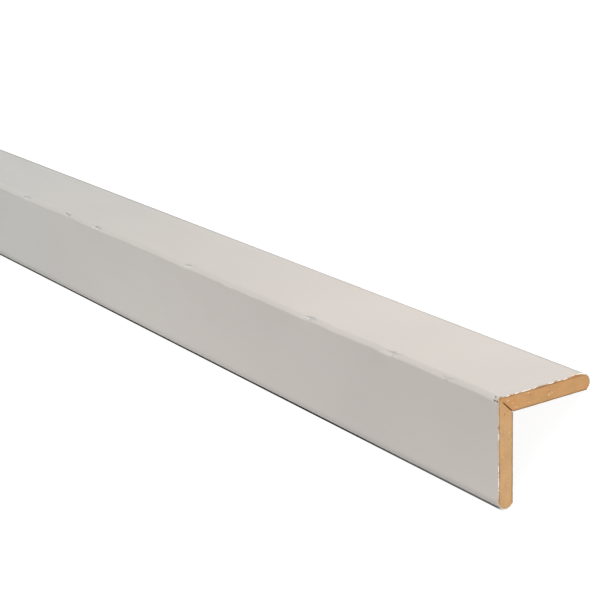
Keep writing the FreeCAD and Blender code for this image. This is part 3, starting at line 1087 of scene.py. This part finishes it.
# %% Finish of the floor
# Painted contact shadow on the floor under the free edges.
CONTACT_SHADE = (0.008, 0.008, 0.007, 1.0)
CONTACT_INSIDE, CONTACT_OUTSIDE = (18.2, 18.6), (21.38, 21.52)
CONTACT_END = (NEAR_CUT / MM - 4.0, NEAR_CUT / MM - 0.6)
CONTACT_FADE, CONTACT_NEAR = (NEAR_CUT / MM - 90.0, NEAR_CUT / MM - 20.0), 0.91
CONTACT_SIDES, CONTACT_RIGHT = (-1.0, 1.0), 0.55


def background_rays(tree):
    """1 for rays that show the background: from the camera, off gloss and through glass."""
    path = add_node(tree, "ShaderNodeLightPath").outputs
    seen = math_node(tree, "MAXIMUM", path["Is Camera Ray"], path["Is Glossy Ray"])
    return math_node(tree, "MAXIMUM", seen, path["Is Transmission Ray"])


def painted_contact_shadow(tree):
    """Painted contact shadow, 1 under the left free edge: the product of a rise, a fall, an end and two
    fades, over millimetres.
    """
    place = add_node(tree, "ShaderNodeSeparateXYZ", {"Vector": millimetres(tree)}).outputs
    beside = math_node(tree, "ABSOLUTE", place["Y"])
    lengthways = math_node(tree, "ABSOLUTE", place["X"])
    contact_shadow = remap(tree, beside, *CONTACT_INSIDE)
    for share in (remap(tree, beside, *CONTACT_OUTSIDE, 1.0, 0.0),
                  remap(tree, lengthways, *CONTACT_END, 1.0, 0.0),
                  remap(tree, lengthways, *CONTACT_FADE, 1.0, CONTACT_NEAR),
                  remap(tree, place["Y"], *CONTACT_SIDES, 1.0, CONTACT_RIGHT)):
        contact_shadow = math_node(tree, "MULTIPLY", contact_shadow, share)
    return contact_shadow


floor_finish, tree, shader = new_material("floor")
seen = background_rays(tree)
contact_shadow = painted_contact_shadow(tree)
# The painted contact shadow darkens both the floor's colour and its glow.
ground_colour = blend_colours(tree, contact_shadow, blend_colours(tree, seen, FLOOR_UNSEEN, FLOOR_COLOUR), BLACK)
ground_glow = blend_colours(tree, contact_shadow, blend_colours(tree, seen, BLACK, FLOOR_GLOW), CONTACT_SHADE)
tree.links.new(ground_colour, shader.inputs["Base Color"])
tree.links.new(ground_glow, shader.inputs["Emission Color"])
shader.inputs["Emission Strength"].default_value = 1.0
shader.inputs["Roughness"].default_value = 1.0
shader.inputs["Specular IOR Level"].default_value = 0.0
floor_mesh.materials.append(floor_finish)
print("floor finish with", len(tree.nodes), "nodes")

# %% [markdown]
# ## Light
#
# The world is white to the camera and an even grey for the light it gives. Two broad lamps far off light
# the cut, and the top alike over the whole length. Close lamps light the near end, where the photograph
# is brightest: one on the right face, one on the left, and a small warm one low by the left foot, like
# light thrown up by a table. Two long lamps beside the moulding start beyond the picture, so that the
# rest of its length is not left dark.

# %% World
AMBIENT = (0.30, 0.30, 0.30, 1.0)
WHITE = (1.0, 1.0, 1.0, 1.0)

scene.world = bpy.data.worlds.new("studio")
scene.world.use_nodes = True
sky = scene.world.node_tree
sky.nodes["Background"].inputs["Color"].default_value = AMBIENT
white = add_node(sky, "ShaderNodeBackground", {"Color": WHITE})
both = add_node(sky, "ShaderNodeMixShader", {0: background_rays(sky), 1: sky.nodes["Background"].outputs[0],
                                             2: white.outputs[0]})
sky.links.new(both.outputs[0], sky.nodes["World Output"].inputs["Surface"])
print("world gives a level of", AMBIENT[0])

# %% [markdown]
# Blender gives lamps a strength or a power. These helpers turn that round: they take the level to which a
# white surface that faces the lamp is lit, so that a colour renders about as it is written.

# %% Lamps
LONG_LENGTH, LONG_WIDTH, LONG_DISTANCE = 2.2, 0.15, 0.20
FAR_SPREAD = math.radians(25.0)
NEUTRAL_LIGHT, WARM_LIGHT, TABLE_LIGHT = (1.0, 1.0, 1.0), (1.0, 0.96, 0.93), (1.0, 0.93, 0.84)


def hang(name, lamp, place, towards):
    """A lamp at a place, shining against the direction that leads towards it."""
    holder = bpy.data.objects.new(name, lamp)
    holder.location = place
    holder.rotation_mode = "QUATERNION"
    holder.rotation_quaternion = towards.to_track_quat("Z", "Y")
    holder.visible_camera = False
    scene.collection.objects.link(holder)
    print(f"{name}: {lamp.energy:.3f}")


def far_lamp(name, direction, level):
    """Lamp so far off that it lights the whole length alike. A level of 1 lights a facing white surface to
    white, which takes a strength of pi."""
    lamp = bpy.data.lights.new(name, "SUN")
    lamp.energy = math.pi * level
    lamp.angle = FAR_SPREAD
    towards = Vector(direction).normalized()
    hang(name, lamp, towards, towards)


def near_lamp(name, target, direction, distance, size, level, colour):
    """Square lamp that lights a facing white surface at the target to a level.

    Its power is pi squared times the square of its distance, times the level.
    """
    lamp = bpy.data.lights.new(name, "AREA")
    lamp.size = size
    lamp.color = colour
    lamp.energy = math.pi ** 2 * distance ** 2 * level
    towards = Vector(direction).normalized()
    hang(name, lamp, target + towards * distance, towards)


def long_lamp(name, start, direction, level):
    """Long lamp beside the moulding, from a start on the ridge to past the far cut.

    A long strip lights a facing surface by its brightness times its width over twice its distance, so the
    power for a level is two pi times length, distance and level.
    """
    lamp = bpy.data.lights.new(name, "AREA")
    lamp.shape = "RECTANGLE"
    lamp.size = LONG_LENGTH
    lamp.size_y = LONG_WIDTH
    lamp.energy = 2.0 * math.pi * LONG_LENGTH * LONG_DISTANCE * level
    towards = Vector(direction).normalized()
    middle = start - Vector((LONG_LENGTH / 2.0, 0.0, 0.0))
    hang(name, lamp, middle + towards * LONG_DISTANCE, towards)


# %% [markdown]
# Each lamp below is a direction, a level and, where it is close, a distance and a size. The levels come
# from setting the faces' shades in the picture against the photograph.

# %% Hang the lamps
left_face = Vector((NEAR_CUT - 0.19, -11.0 * MM, 13.0 * MM))
left_foot = Vector((NEAR_CUT, -21.0 * MM, 4.0 * MM))
out_of_picture = near_corner - Vector((0.70, 0.0, 0.0))

far_lamp("end_light", direction=(0.985, 0.0, 0.174), level=0.838)
far_lamp("upper_light", direction=(-0.4, 0.375, 0.927), level=0.21)
near_lamp("close_light", near_corner, direction=(0.0, 0.94, 0.342), distance=0.37, size=0.20,
          level=0.335, colour=WARM_LIGHT)
near_lamp("left_light", left_face, direction=(0.0, -0.94, 0.34), distance=0.30, size=0.20,
          level=0.203, colour=NEUTRAL_LIGHT)
near_lamp("table_light", left_foot, direction=(0.30, -0.95, 0.05), distance=0.042, size=0.04,
          level=0.17, colour=TABLE_LIGHT)
long_lamp("far_left_light", out_of_picture, direction=(0.0, -0.985, 0.174), level=0.14)
long_lamp("far_right_light", out_of_picture, direction=(0.0, 0.985, 0.174), level=0.22)

# %% [markdown]
# ## The view
#
# The Standard view shows colours as they are written.

scene.view_settings.view_transform = "Standard"
